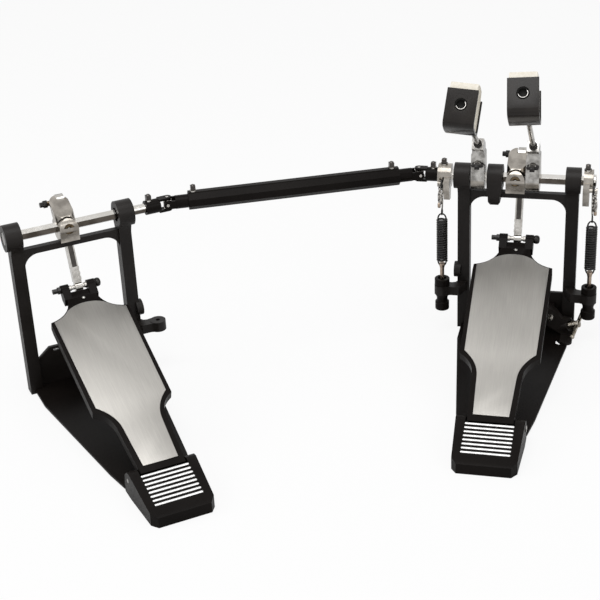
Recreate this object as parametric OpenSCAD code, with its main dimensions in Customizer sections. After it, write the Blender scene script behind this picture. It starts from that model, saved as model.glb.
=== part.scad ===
// Double pedal for a bass drum: a main stand with two beaters, a second stand set out to its left,
// and a telescopic drive shaft with two cross joints that turns the left beater.
// X runs to the right along the main shaft, Y towards the drum, Z up, with the floor at zero.

/* [Stands] */
// Height of the shafts above the floor
shaft_z = 200; // [190:1:215]
// Half the clear width between the posts
post_in = 56.5; // [56:0.5:60]
// Width of a post
post_w = 14.5; // [12:0.5:16]
// Depth of a post
post_d = 15; // [12:0.5:18]
// Radius of the bearing housings
cap_r = 15.5; // [14.5:0.5:17]
// Across flats of the hexagonal shafts
hex_af = 11; // [10:0.5:12]

/* [Footboards] */
// Slope of the footboards in degrees
board_slope = 19.51; // [17:0.01:22]
// Distance of the heel hinge behind the shaft
hinge_back = 263.3; // [250:0.1:275]
// Half the width of the steel tread plate at its widest
tread_half = 42.5; // [38:0.5:44]

/* [Beaters] */
// Lean of the right beater from upright, in degrees
right_lean = 52; // [40:1:60]
// Lean of the left beater from upright, in degrees
left_lean = 55.8; // [40:0.1:60]
// Length of rod above the hub and head together, right beater
right_reach = 190; // [160:1:210]
// Length of rod above the hub and head together, left beater
left_reach = 182; // [160:1:210]
// Twist of the right head on its rod, in degrees
right_twist = 4.3; // [-10:0.1:10]
// Twist of the left head on its rod, in degrees
left_twist = -4.3; // [-10:0.1:10]
// Width of a beater head
head_w = 33; // [30:1:45]

/* [Drive shaft] */
// Place of the second stand, across
slave_x = -489.4; // [-520:0.1:-470]
// Place of the second stand, fore and aft
slave_y = -197.4; // [-210:0.1:-180]
// Turn of the second stand in degrees
slave_yaw = 38; // [34:0.5:42]
// Outer radius of the eight-sided drive tube
tube_r = 10.8; // [10.5:0.1:12]

/* [Return springs] */
// Outer diameter of the coils
spring_od = 13.8; // [11:0.1:14]
// Wire diameter
spring_wire = 1.9; // [1.5:0.1:2]
// Number of curls in one spring
spring_turns = 20; // [14:1:22]

/* [Hidden] */

satin_black = [0.16, 0.15, 0.14];
rubber_black = [0.10, 0.10, 0.10];
steel = [0.72, 0.71, 0.69];
chrome = [0.85, 0.85, 0.86];
nickel = [0.76, 0.74, 0.70];
cream = [0.90, 0.86, 0.76];
copper = [0.72, 0.48, 0.32];

post_out = post_in + post_w;
cap_out = 75.5;
main_cap = [55, 72.5];
slave_cap = [post_in, cap_out];
bar_top = shaft_z - 16.9;
bar_low = shaft_z - 24.3;
bar_back = -4;
bar_front = 3.6;
open_r = 17;
pad_t = 2;
plate_top = 5.5;
shaft_r = hex_af / 2 / cos(30);
run = 0.05;

// Tread plane: its height above the floor at the hinge, and the turned frame of the footboard
tread_z = shaft_z - 166.16;
toe_reach = 271.9;
toe_y = toe_reach * cos(board_slope) - hinge_back;
toe_z = tread_z + toe_reach * sin(board_slope);
pin_y = -hinge_back;
pin_z = 20.3;
cam_y = 30;
cam_z = shaft_z + 17.8;
link_lean = atan2(cam_y - toe_y, cam_z - toe_z);
link_len = sqrt(pow(cam_y - toe_y, 2) + pow(cam_z - toe_z, 2));
link_x = [-3.4, 5.4];

// Spring stations
spring_x = 88;
spring_y = -20;
hook_pin = [-21, -3];
coil_z = [shaft_z - 103.5, shaft_z - 49.5];
eye_z = shaft_z - 107;
loop_z = shaft_z - 42;

// Drive line: joint centres, and the turn of the drive shaft between them
main_joint_x = -118.5;
slave_joint_x = 120.3;
slave_joint = [slave_x + slave_joint_x * cos(slave_yaw), slave_y + slave_joint_x * sin(slave_yaw)];
drive_yaw = atan2(-slave_joint[1], main_joint_x - slave_joint[0]);
tube_span = [24.5, 277];
tube_bolt_t = [31, 268.7];

// Points of a curve with one control point
function bend(a, b, c, n = 6) = [for (i = [1 : n]) let (t = i / n)
    (1 - t) * (1 - t) * a + 2 * t * (1 - t) * b + t * t * c];
// A half outline and its mirror image as one closed list
function both(h) = concat(h, [for (i = [len(h) - 1 : -1 : 0]) [-h[i][0], h[i][1]]]);

module x_cyl(r, x0, x1, fn = 48) {
    translate([x0, 0, 0]) rotate([0, 90, 0]) cylinder(r = r, h = x1 - x0, $fn = fn);
}
module x_slab(x0, x1) {
    translate([x0, 0, 0]) rotate([90, 0, 90]) linear_extrude(x1 - x0) children();
}
module y_slab(y0, y1) {
    translate([0, y1, 0]) rotate([90, 0, 0]) linear_extrude(y1 - y0) children();
}
module at_shaft() {
    translate([0, 0, shaft_z]) children();
}
module on_board() {
    translate([0, -hinge_back, tread_z]) rotate([board_slope, 0, 0]) children();
}
module second_stand() {
    translate([slave_x, slave_y, 0]) rotate([0, 0, slave_yaw]) children();
}
module drive_line() {
    translate([slave_joint[0], slave_joint[1], shaft_z]) rotate([0, 0, drive_yaw]) children();
}
module hex_bore(x0, x1) {
    x_cyl(shaft_r + run, x0, x1, 6);
}
// Square headed bolt for a drum key, standing up from its seat, with stem reaching down
module key_bolt(stem, head, flange) {
    translate([0, 0, -stem]) cylinder(r = 2.9, h = stem + 0.01, $fn = 32);
    cylinder(r = flange, h = 1.6, $fn = 32);
    translate([-2.9, -2.9, 1.5]) cube([5.8, 5.8, head]);
    translate([0, 0, 1.5 + head]) cylinder(r1 = 2.8, r2 = 1.6, h = 1.2, $fn = 24);
}
// Hole for the stem of a key bolt, and the flat that its flange sits on
module bolt_seat(stem, flange) {
    translate([0, 0, -stem]) cylinder(r = 2.9 + run, h = stem + 20, $fn = 32);
    cylinder(r = flange + 0.3, h = 20, $fn = 32);
}

heel_front = -250;
rib_count = 8;
tongue_half = 26;
tongue_end = -300;

// Base of either stand: plan outline, narrower by d all round
function base_half(d) = [
    [60 - d, 24 - d], [66 - d, 18 - d], [66 - d, -14], [66 - d, -46], [61 - d, -84], [43.8 - d, -219],
    [38 - d, heel_front + d], [tongue_half - d, heel_front + d], [tongue_half - d, tongue_end + d]
];
module base_cut() {
    for (s = [-1, 1]) translate([s * post_in - (s < 0 ? post_w : 0), -post_d / 2, -1])
        cube([post_w, post_d, 10]);
}
window_plan = [[52.3, -30], [52.3, -43], [58, -45.5], [56.5, -36]];
module base_plate(window) {
    color(satin_black) difference() {
        translate([0, 0, pad_t]) linear_extrude(plate_top - pad_t) polygon(both(base_half(0)));
        base_cut();
        if (window) linear_extrude(10) polygon(window_plan);
    }
}
module base_pad() {
    color(rubber_black) difference() {
        linear_extrude(pad_t) polygon(both(base_half(2)));
        base_cut();
        translate([0, 0, -1]) linear_extrude(5) offset(delta = 1) polygon(window_plan);
    }
}

// Cast frame: two posts with bearing housings, crossbar, front wall and spring brackets. The top of the
// wall slopes down to the left post, and to the right one unless the wall ends at the post.
module post_pair(right_cap) {
    for (s = [-1, 1]) {
        x_slab(s > 0 ? post_in : -post_out, s > 0 ? post_out : -post_in) {
            translate([-post_d / 2, 0]) square([post_d, shaft_z]);
        }
        x_slab(s > 0 ? right_cap[0] : -cap_out, s > 0 ? right_cap[1] : -post_in) {
            translate([0, shaft_z]) circle(r = cap_r, $fn = 64);
        }
        x_slab(s > 0 ? post_in : -post_out, s > 0 ? post_out : -post_in)
            translate([0, shaft_z])
                polygon([[-11.5, -10], [11.5, -10], [post_d / 2, -21], [-post_d / 2, -21]]);
    }
}
bracket_z = shaft_z - 148;
bracket_h = 12;
module spring_arm(s) {
    translate([s * spring_x, spring_y, bracket_z]) cylinder(r = 9.3, h = bracket_h, $fn = 48);
    translate([0, 0, bracket_z + 0.5]) linear_extrude(bracket_h - 1) scale([s, 1])
        polygon([[post_out - 5, 3], [post_out, 3], [post_out, -7], [post_out + 2, -10.5],
            [post_out + 6, -12], [spring_x, -10.8], [spring_x, -29.2], [post_out + 6, -25.5],
            [post_out - 4, -25.5], [post_in + 2, -7]]);
}
jaw_axis = [9, 40];
module jaw_lugs() {
    for (x = [-30, 23]) x_slab(x, x + 7) difference() {
        polygon([[3, 32], [3, 48], [9, 46], [14, 42], [14, 37], [9, 34]]);
        translate(jaw_axis) circle(r = 2, $fn = 32);
    }
}
module frame(arms, boss_side, lugs, right_cap, wall_end) {
    color(satin_black) difference() {
        union() {
            post_pair(right_cap);
            y_slab(bar_back, bar_front) difference() {
                translate([-post_in - 1, bar_low - open_r])
                    square([2 * post_in + 2, bar_top - bar_low + open_r]);
                translate([-post_in + open_r, bar_low - open_r - 1])
                    square([2 * (post_in - open_r), open_r + 1]);
                for (s = [-1, 1]) translate([s * (post_in - open_r), bar_low - open_r])
                    circle(r = open_r, $fn = 48);
            }
            y_slab(0, 4) polygon([[-post_in - 1, plate_top], [-post_in - 1, 41], [-54, 41], [-41, 52],
                [wall_end, 52], [max(wall_end, 54), 41], [post_in + 1, 41], [post_in + 1, plate_top]]);
            for (s = arms) spring_arm(s);
            if (lugs) jaw_lugs();
            translate([boss_side * post_out, -3.5, 78]) x_cyl(9.6, -4, 4, 48);
        }
        at_shaft() {
            x_cyl(11, -cap_out + 2, -cap_out + 11.5);
            x_cyl(11, right_cap[1] - 11.5, right_cap[1] - 2);
            x_cyl(8.2, -cap_out - 1, cap_out + 1);
        }
        for (s = arms) translate([s * spring_x, spring_y, 30]) cylinder(r = 2.6, h = 40, $fn = 32);
        y_slab(-1, 5) translate([-33, 47]) square([7, 2.4], center = true);
    }
}

// Ball bearing seen as its two races
module race(x0, x1) {
    at_shaft() difference() {
        x_cyl(10.98, x0, x1);
        x_cyl(shaft_r + 0.3, x0 - 1, x1 + 1);
        for (x = [x0 - 0.5, x1 - 0.5]) difference() {
            x_cyl(9.6, x, x + 1);
            x_cyl(8.2, x - 1, x + 2);
        }
    }
}
module cap_races(right_cap) {
    race(-cap_out + 2, -cap_out + 11.5);
    race(right_cap[1] - 11.5, right_cap[1] - 2);
}

// Raised rib on the heel, or its groove when grown by g
module rib(i, g) {
    translate([0, -275.5 - 5.5 * i, 28.6 - 1.64 * i]) rotate([16.6, 0, 0])
        translate([-26.5 - g, -1.3 - g, -0.25]) cube([53 + 2 * g, 2.6 + 2 * g, 1.1]);
}
// Heel: cast block that carries the footboard hinge
module heel_block() {
    color(satin_black) difference() {
        intersection() {
            linear_extrude(40) polygon([[-37.5, heel_front], [37.5, heel_front], [37.5, -268],
                [34.8, -322], [29, -330], [-29, -330], [-34.8, -322], [-37.5, -268]]);
            x_slab(-40, 40) polygon([[-332, 0], [-332, 8], [-330, 12], [-327, 13.4], [-268, 31], [-262, 30],
                [-254, 23], [heel_front, 8], [heel_front, 0]]);
        }
        translate([-26.6, -273.8, -1]) cube([53.2, 30, 40]);
        translate([-tongue_half - 0.1, tongue_end - 0.5, -1]) cube([2 * tongue_half + 0.2, 60, plate_top + 1]);
        translate([0, pin_y, pin_z]) x_cyl(2.5 + run, -38, 38, 32);
        for (i = [0 : rib_count - 1]) rib(i, run);
    }
}
module heel_ribs() {
    color(chrome) for (i = [0 : rib_count - 1]) rib(i, 0);
}
module hinge_pin() {
    color(steel) translate([0, pin_y, pin_z]) {
        x_cyl(2.5, -37.6, 37.6, 32);
        x_cyl(3.6, 37.5, 38.6, 32);
    }
}

// Footboard outline, drawn in by d, and its tread plate
function board_half(d) = concat(
    [[24.8 - d, -9 + d], [26.6 - d, 30], [27.8 - d, 58]],
    bend([27.8 - d, 58], [29 - d, 76], [45 - d, 86 + d]),
    [[46.4 - d, 218 - d], [46 - d, 226.5 - d]],
    bend([46 - d, 226.5 - d], [25 - d, 230.5 - d], [19 - d, 248 - d]),
    [[17.3 - d, 255 - d], [19 - d, 266.3 - d]]
);
function tread_outline() = concat(
    [[19.4, -1], [22, 54]],
    bend([22, 54], [23, 74], [40, 90]),
    [[tread_half, 225.5]],
    bend([tread_half, 225.5], [30, 229], [23, 238]),
    bend([23, 238], [13.5, 245.5], [0, 245.5])
);
// Ears at the toe: half the slot between them, and half the width over them
slot_half = 10.8;
ear_half = 20.2;
module footboard() {
    color(satin_black) on_board() difference() {
        union() {
            translate([0, 0, -11]) linear_extrude(10) polygon(both(board_half(0)));
            for (s = [-1, 1]) x_slab(s > 0 ? slot_half : -ear_half, s > 0 ? ear_half : -slot_half) {
                translate([toe_reach, 0]) circle(r = 5.4, $fn = 40);
                polygon([[256, -11], [256, -1], [268, 4], [275, -4.4], [266, -11]]);
            }
            translate([0, -4.52, -12.75]) x_cyl(5.6, -26, 26, 40);
            translate([-24.5, -9, -12]) cube([49, 16, 4]);
        }
        translate([0, 0, -12]) linear_extrude(4.5) intersection() {
            polygon(both(board_half(4)));
            translate([-50, 14]) square([100, 232]);
        }
        translate([0, -4.52, -12.75]) x_cyl(2.5 + run, -30, 30, 32);
        translate([0, toe_reach, 0]) x_cyl(2.5 + run, -30, 30, 32);
        translate([-slot_half, 266.3, -12]) cube([2 * slot_half, 20, 20]);
    }
}
module tread_plate() {
    color(steel) on_board() translate([0, 0, -1]) linear_extrude(1) polygon(both(tread_outline()));
    color(steel) on_board() translate([1, 253, -1]) cylinder(r = 1.9, h = 1.2, $fn = 24);
}
module toe_pin() {
    color(steel) on_board() translate([0, toe_reach, 0]) {
        x_cyl(2.5, -23, 20.4, 32);
        x_cyl(4.4, ear_half + 0.05, 23.6, 24);
        for (s = [-1, 1]) translate([s * (slot_half - 1.6), 0, 0]) x_cyl(3.4, -1.5, 1.5, 32);
        x_cyl(4.2, -24.2, -ear_half - 0.05, 8);
        x_cyl(3, -30, -24.1, 8);
    }
}

// Link bar from the toe pin up to the cam
module link() {
    color(steel) translate([0, toe_y, toe_z]) rotate([-link_lean, 0, 0]) difference() {
        union() {
            x_slab(link_x[0], link_x[1]) {
                circle(r = 5.2, $fn = 40);
                translate([0, link_len]) circle(r = 8.6, $fn = 48);
                translate([-2.6, 0]) square([5.2, link_len]);
            }
            for (x = [link_x[0], link_x[1] - 1.6]) x_slab(x, x + 1.6)
                translate([-3.6, 6]) square([9.6, link_len - 6]);
            for (i = [0 : 2]) x_slab(link_x[0] - 0.4, link_x[1] + 0.4)
                translate([-4.2 + 0.4 * i, 8 + 6 * i]) square([5, 3.2]);
        }
        x_cyl(2.5 + run, -20, 20, 32);
        translate([0, 0, link_len]) x_cyl(5.2, -20, 20, 48);
    }
}

// Cam: clamp round the hexagonal shaft with an arched front, and a round-backed arm forked for the link
cam_x = [-13.9, 8.4];
cam_mid = (cam_x[0] + cam_x[1]) / 2;
cam_half = (cam_x[1] - cam_x[0]) / 2;
fork_x = [-4.2, 6.2];
arm_foot = [2, 3];
arm_lean = atan2(cam_z - shaft_z - arm_foot[1], cam_y - arm_foot[0]);
module cam_arch(g) {
    translate([cam_mid, 1]) circle(r = cam_half + g, $fn = 64);
    translate([cam_mid - cam_half - g, -20]) square([2 * (cam_half + g), 21]);
}
module cam_arm() {
    intersection() {
        x_slab(cam_x[0], cam_x[1]) hull() {
            translate(arm_foot) circle(r = 12.5, $fn = 32);
            translate([cam_y, cam_z - shaft_z]) circle(r = 9, $fn = 32);
        }
        translate([cam_mid, arm_foot[0], arm_foot[1]]) rotate([-arm_lean, 0, 0])
            cylinder(r = 12.6, h = 100, center = true, $fn = 96);
    }
}
module cam() {
    color(nickel) at_shaft() difference() {
        union() {
            intersection() {
                x_slab(cam_x[0], cam_x[1]) {
                    circle(r = 15.2, $fn = 64);
                    translate([-14, -14.5]) square([14, 15]);
                }
                y_slab(-20, 16) cam_arch(0);
            }
            difference() {
                cam_arm();
                y_slab(-20, -3) cam_arch(0.9);
            }
        }
        hex_bore(-20, 20);
        translate([0, cam_y, cam_z - shaft_z]) x_cyl(3, -20, 20, 32);
        x_slab(fork_x[0], fork_x[1]) translate([cam_y, cam_z - shaft_z]) {
            circle(r = 11.5, $fn = 48);
            polygon([[-4.2, 1.7], [-20.8, -40], [40, -40], [40, 12], [0, 11.5]]);
        }
        translate([cam_mid, -15, 1]) rotate([-90, 0, 0]) cylinder(r = 6.2, h = 4.5, $fn = 40);
    }
}
module cam_bolts() {
    color(steel) translate([cam_mid, -14.4, shaft_z + 1]) rotate([-90, 0, 0]) difference() {
        cylinder(r = 5.9, h = 3.6, $fn = 40);
        translate([0, 0, -1]) cylinder(r = 3.1, h = 3, $fn = 6);
    }
    color(steel) translate([0, cam_y, cam_z]) x_cyl(3, cam_x[0] - 2, cam_x[1], 32);
    color(satin_black) translate([0, cam_y, cam_z]) {
        x_cyl(4.6, cam_x[0] - 4.6, cam_x[0], 8);
        x_cyl(3.2, cam_x[0] - 8.6, cam_x[0] - 4.5, 8);
    }
}

// Hub of a beater: clamp round the shaft, and a leaning seat for the rod
hub_entry = [-13, 46];
hub_bolt_z = 20;
ring_bolt_z = 13.4;
function lean_up(lean) = [-sin(lean), cos(lean)];
function lean_out(lean) = [cos(lean), sin(lean)];
module hub(x0, x1, lean) {
    up = lean_up(lean);
    out = lean_out(lean);
    color(nickel) at_shaft() difference() {
        union() {
            x_slab(x0, x1) circle(r = 15.2, $fn = 64);
            intersection() {
                x_slab(x0, x1) polygon([[-15, 2], hub_entry - 6.8 * out - 8 * up, hub_entry - 6.8 * out,
                    hub_entry + 6.8 * out, hub_entry + 6.8 * out - 20 * up, [12, 6], [9, -6], [-13, -6]]);
                translate([(x0 + x1) / 2, 0, 0]) y_slab(-60, 60)
                    polygon(both([[x1 - x0, -30], [x1 - x0, 18], [6.8, 33], [6.8, 70]]));
            }
        }
        hex_bore(x0 - 1, x1 + 1);
        translate([(x0 + x1) / 2, hub_entry[0], hub_entry[1]]) rotate([lean, 0, 0])
            translate([0, 0, -80]) cylinder(r = 3 + run, h = 100, $fn = 32);
        translate([(x0 + x1) / 2, -15.4, hub_bolt_z]) rotate([90, 0, 0]) bolt_seat(8, 4.6);
    }
}
// A beater is given by its place along the shaft, its lean, its reach and the twist of its head
module beater_frame(b) {
    translate([b[0], hub_entry[0], shaft_z + hub_entry[1]]) rotate([b[1], 0, 0])
        translate([0, 0, b[2]]) rotate([0, 0, b[3]]) children();
}
// Length of rod below the top of the hub
rod_tail = 46;
module beater_rod(b) {
    color(chrome) beater_frame(b) translate([0, 0, -b[2] - rod_tail])
        cylinder(r = 3, h = b[2] + rod_tail - 6, $fn = 32);
}
head_h = 42;
function shell_outer() = concat([[17, 0], [-16, 0]], bend([-16, 0], [-23.5, 0], [-24.3, -9]),
    bend([-24.3, -9], [-26, -21], [-24.3, -33]), bend([-24.3, -33], [-23.5, -head_h], [-16, -head_h]),
    [[15, -head_h]]);
module beater_shell(b) {
    color(satin_black) beater_frame(b) difference() {
        x_slab(-head_w / 2, head_w / 2) difference() {
            polygon(shell_outer());
            polygon([[20, -3], [-18, -3], [-21.4, -8], [-22.4, -21], [-21.4, -34],
                [-18, 3 - head_h], [20, 3 - head_h]]);
        }
        translate([0, 0, -4]) cylinder(r = 6.6, h = 6, $fn = 40);
        translate([0, 0, -head_h - 1]) cylinder(r = 3.2, h = 6, $fn = 32);
    }
}
module beater_felt(b) {
    color(cream) beater_frame(b) difference() {
        x_slab(-head_w / 2 + 1.8, head_w / 2 - 1.8)
            polygon([[-18, -3], [18, -3], [25, -6.5], [26.5, -21], [25, 6.5 - head_h], [18, 3 - head_h],
                [-18, 3 - head_h], [-21.4, -34], [-22.4, -21], [-21.4, -8]]);
        translate([0, 0, -60]) cylinder(r = 3, h = 80, $fn = 32);
        translate([0, 0, -9]) cylinder(r = 5.4, h = 12, $fn = 40);
    }
}
module beater_screw(b) {
    color(chrome) beater_frame(b) difference() {
        union() {
            translate([0, 0, -9]) cylinder(r = 5.4, h = 6.2, $fn = 40);
            translate([0, 0, -2.9]) cylinder(r = 6.5, h = 3.3, $fn = 40);
        }
        translate([0, 0, -2]) cylinder(r = 4.6, h = 5, $fn = 40);
        translate([0, 0, -5]) cylinder(r = 3.4, h = 5, $fn = 6);
        translate([0, 0, -12]) cylinder(r = 3, h = 6, $fn = 32);
    }
}

// Rocker that pulls a spring, with its hook pin to the outside
module rocker(ring_x, tab_x, pin_x, bolt_x) {
    color(nickel) at_shaft() {
        difference() {
            union() {
                x_slab(ring_x[0], ring_x[1]) circle(r = 13.8, $fn = 64);
                x_slab(tab_x[0], tab_x[1])
                    polygon([[-13.6, 3], [-24, 0], [-24, -8], [-19, -24], [-9, -26], [-6, -10]]);
            }
            hex_bore(ring_x[0] - 1, ring_x[1] + 1);
            translate([bolt_x, 0, ring_bolt_z]) bolt_seat(7, 4.4);
        }
        translate([0, hook_pin[0], hook_pin[1]]) {
            x_cyl(2.2, min(tab_x[0] + 0.5, pin_x), max(tab_x[1] - 0.5, pin_x), 32);
            x_cyl(3.6, pin_x > 0 ? pin_x : pin_x - 1.4, pin_x > 0 ? pin_x + 1.4 : pin_x, 32);
        }
    }
}
// Hook plate between a rocker pin and the top of a spring
module spring_hook(s) {
    color(chrome) translate([s * spring_x, 0, 0]) {
        x_slab(-1.6, 1.6) difference() {
            union() {
                translate([hook_pin[0], shaft_z + hook_pin[1]]) circle(r = 5.5, $fn = 40);
                translate([hook_pin[0] - 2, loop_z + 8]) square([5, 26]);
                translate([spring_y, loop_z + 4.5]) circle(r = 4.8, $fn = 32);
            }
            translate([hook_pin[0], shaft_z + hook_pin[1]]) circle(r = 4, $fn = 40);
        }
        translate([0, spring_y, loop_z - 4.5]) cylinder(r = 2.6, h = 6, $fn = 24);
    }
}

// Return spring: one tube that rises straight, winds out, curls and comes back to its axis
coil_r = (spring_od - spring_wire) / 2;
spring_n = 8 * spring_turns;
function spring_rad(i) = coil_r * min(1, i / 6, (spring_n - i) / 6);
function spring_pts() = concat(
    [[0, 0, eye_z], [0, 0, eye_z + spring_wire]],
    [for (i = [1 : spring_n - 1]) let (r = spring_rad(i))
        [r * cos(45 * i), r * sin(45 * i), coil_z[0] + (coil_z[1] - coil_z[0]) * i / spring_n]],
    [[0, 0, loop_z - 4.5 - spring_wire], [0, 0, loop_z - 4.5]]
);
function along(p, i) = let (d = p[min(i + 1, len(p) - 1)] - p[max(i - 1, 0)]) d / norm(d);
function ring_at(p, i) = let (
        t = (i <= 1 || i >= len(p) - 2) ? [0, 0, 1] : along(p, i),
        a = 45 * (i - 1),
        o = [cos(a), sin(a), 0],
        n = (o - (o * t) * t) / norm(o - (o * t) * t),
        b = cross(t, n))
    [for (k = [0 : 5]) p[i] + spring_wire / 2 * (cos(60 * k) * n + sin(60 * k) * b)];
module spring() {
    p = spring_pts();
    n = len(p);
    tri = concat(
        [for (i = [0 : n - 2], k = [0 : 5]) [6 * i + k, 6 * i + 6 + k, 6 * i + (k + 1) % 6]],
        [for (i = [0 : n - 2], k = [0 : 5]) [6 * i + (k + 1) % 6, 6 * i + 6 + k, 6 * i + 6 + (k + 1) % 6]],
        [for (k = [1 : 4]) [0, k, k + 1]],
        [for (k = [1 : 4]) [6 * n - 6, 6 * n - 6 + k + 1, 6 * n - 6 + k]]
    );
    echo(least_gap = min([for (i = [0 : n - 1], j = [i + 5 : 1 : n - 1]) norm(p[i] - p[j])]) - spring_wire);
    color(satin_black) polyhedron(points = [for (i = [0 : n - 1]) each ring_at(p, i)], faces = tri);
}
module at_spring(s) {
    translate([s * spring_x, spring_y, 0]) children();
}
module eyebolt() {
    color(copper) {
        translate([0, 0, 33]) cylinder(r = 2.55, h = eye_z - 39, $fn = 32);
        translate([0, 0, eye_z - 7]) cylinder(r1 = 2.55, r2 = 3.4, h = 3.5, $fn = 32);
        translate([0, 0, eye_z - 3.5]) cylinder(r = 3.4, h = 3.5, $fn = 32);
    }
}
// Knurled nut above each bracket and hand knob below it
module spring_nut() {
    color(satin_black) difference() {
        union() {
            translate([0, 0, bracket_z + bracket_h]) cylinder(r = 9.1, h = 8.9, $fn = 48);
            translate([0, 0, bracket_z - 20.7]) cylinder(r = 8.5, h = 10.5, $fn = 48);
            translate([0, 0, bracket_z - 10.5]) cylinder(r = 6.6, h = 10.5, $fn = 48);
            translate([0, 0, bracket_z - 5]) cylinder(r1 = 6.6, r2 = 8.6, h = 5, $fn = 48);
        }
        translate([0, 0, 20]) cylinder(r = 2.6, h = 60, $fn = 32);
        translate([0, 0, shaft_z - 130.3]) cylinder(r = 5, h = 5, $fn = 32);
    }
}

// Cross joint parts: yoke with upper and lower ears, cross, and fork with side ears. A barrel lies
// from the first to the second distance of its span, and its bolt stands at the third.
main_barrel = [8.8, 23, 17.5];
slave_barrel = [10.3, 27.8, 22.8];
// Play of the cross pins in the forks: more at the joint that bends more
main_play = 0.45;
slave_play = 0.2;
ear_in = 5.6;
ear_out = 8.4;
module yoke(barrel) {
    difference() {
        union() {
            x_cyl(8.4, barrel[0], barrel[1], 48);
            for (z = [ear_in, -ear_out]) translate([0, 0, z]) linear_extrude(ear_out - ear_in) {
                circle(r = 4.8, $fn = 40);
                translate([0, -4.8]) square([barrel[0] + 1.2, 9.6]);
            }
        }
        hex_bore(barrel[0] - 1, barrel[1] + 1);
        cylinder(r = 1.8 + run, h = 20, center = true, $fn = 24);
        translate([barrel[2], 0, 8]) bolt_seat(2, 4);
    }
}
module cross_piece() {
    cube(9.6, center = true);
    cylinder(r = 1.8, h = 2 * ear_out, center = true, $fn = 24);
    rotate([90, 0, 0]) cylinder(r = 1.8, h = 2 * ear_out, center = true, $fn = 24);
}
module fork(shank, play) {
    difference() {
        union() {
            x_cyl(8, 9, shank, 48);
            for (y = [ear_out, -ear_in]) y_slab(y - ear_out + ear_in, y) {
                circle(r = 4.8, $fn = 40);
                translate([0, -4.8]) square([10, 9.6]);
            }
        }
        rotate([90, 0, 0]) cylinder(r = 1.8 + play, h = 30, center = true, $fn = 24);
    }
}
module tube() {
    color(satin_black) difference() {
        union() {
            rotate([22.5, 0, 0]) x_cyl(tube_r, tube_span[0], tube_span[1], 8);
            x_slab(tube_span[0], tube_span[1]) polygon([[-4.5, 9], [4.5, 9], [3.4, 11.4], [-3.4, 11.4]]);
        }
        x_cyl(8.06, tube_span[0] - 1, tube_span[1] + 1, 48);
        for (t = tube_bolt_t) translate([t, 0, 0]) cylinder(r = 2.9 + run, h = 20, $fn = 32);
    }
}

// Hoop clamp: jaw over the lip of the base, worked by a quarter turn of a tee screw beside the right post
screw_at = [62, -17.6, 16.8];
screw_turn = [0, 66.8, -24.1];
bar_turn = 23.7;
bar_half = 21;
arm_y = [-23, -13];
module hoop_jaw() {
    color(satin_black) difference() {
        union() {
            x_slab(-21.5, 21.5) translate(jaw_axis) circle(r = 4.6, $fn = 40);
            x_slab(-22, 22) polygon([[8, 43.5], [19, 44], [32, 36], [36, 27.5], [22, 27.5], [12, 33], [8, 37]]);
        }
        x_slab(-23, 23) translate(jaw_axis) circle(r = 2 + run, $fn = 32);
    }
}
module clamp_pins() {
    color(steel) translate([0, jaw_axis[0], jaw_axis[1]]) x_cyl(2, -31, 31, 32);
    color(chrome) translate([44, arm_y[0], 30]) rotate([90, 0, 0]) {
        cylinder(r = 4.6, h = 2, $fn = 32);
        translate([0, 0, 2]) cylinder(r = 3.1, h = 4, $fn = 6);
        translate([0, 0, 5.9]) cylinder(r = 2, h = 3, $fn = 24);
    }
}
module clamp_arm() {
    color(satin_black) difference() {
        union() {
            y_slab(arm_y[0], arm_y[1]) polygon([[37, 22], [37, 36], [42, 41], [50, 38], [58, 28],
                [68, 26.5], [73, 18], [71, 7], [60, 6], [50, 12], [42, 17]]);
            translate([38, arm_y[0] + 1, 20]) cube([9, -arm_y[0] - 1, 18]);
            translate(screw_at) rotate(screw_turn) translate([0, 0, -6]) cylinder(r = 7.5, h = 12, $fn = 40);
            translate([0, 0, plate_top]) linear_extrude(3.5) hull() {
                translate([64.3, -40]) circle(r = 7.3, $fn = 40);
                translate([64.3, -20]) circle(r = 7, $fn = 40);
            }
        }
        translate(screw_at) rotate(screw_turn) {
            translate([0, 0, -9]) cylinder(r = 3.5 + run, h = 20, $fn = 32);
            translate([0, 0, 6]) cylinder(r = 7, h = 30, $fn = 40);
        }
        translate([30, -60, -1]) cube([60, 80, plate_top + 1.2]);
        translate([post_in - 0.3, -post_d / 2 - 0.3, 0]) cube([post_w + 0.6, post_d, 60]);
    }
}
module clamp_screw() {
    color(chrome) translate(screw_at) rotate(screw_turn) {
        translate([0, 0, -6]) cylinder(r = 3.5, h = 20, $fn = 32);
        translate([0, 0, 6.4]) cylinder(r = 5.2, h = 6, $fn = 40);
        translate([0, 0, 13]) cylinder(r = 4.4, h = 6.5, $fn = 40);
        translate([0, 0, 17.5]) rotate([0, 0, bar_turn]) {
            rotate([90, 0, 0]) cylinder(r = 2.4, h = 2 * bar_half, center = true, $fn = 32);
            for (s = [-1, 1]) translate([0, s * bar_half, 0]) sphere(r = 2.9, $fn = 24);
        }
    }
}

ring_bolts = [-88, 80];
left_x = -47;
right_x = 17;
right_beater = [right_x, right_lean, right_reach, right_twist];
left_beater = [left_x, left_lean, left_reach, left_twist];
shaft_main = [-27, 90];
shaft_left = [-110.4, -28.4];

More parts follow.
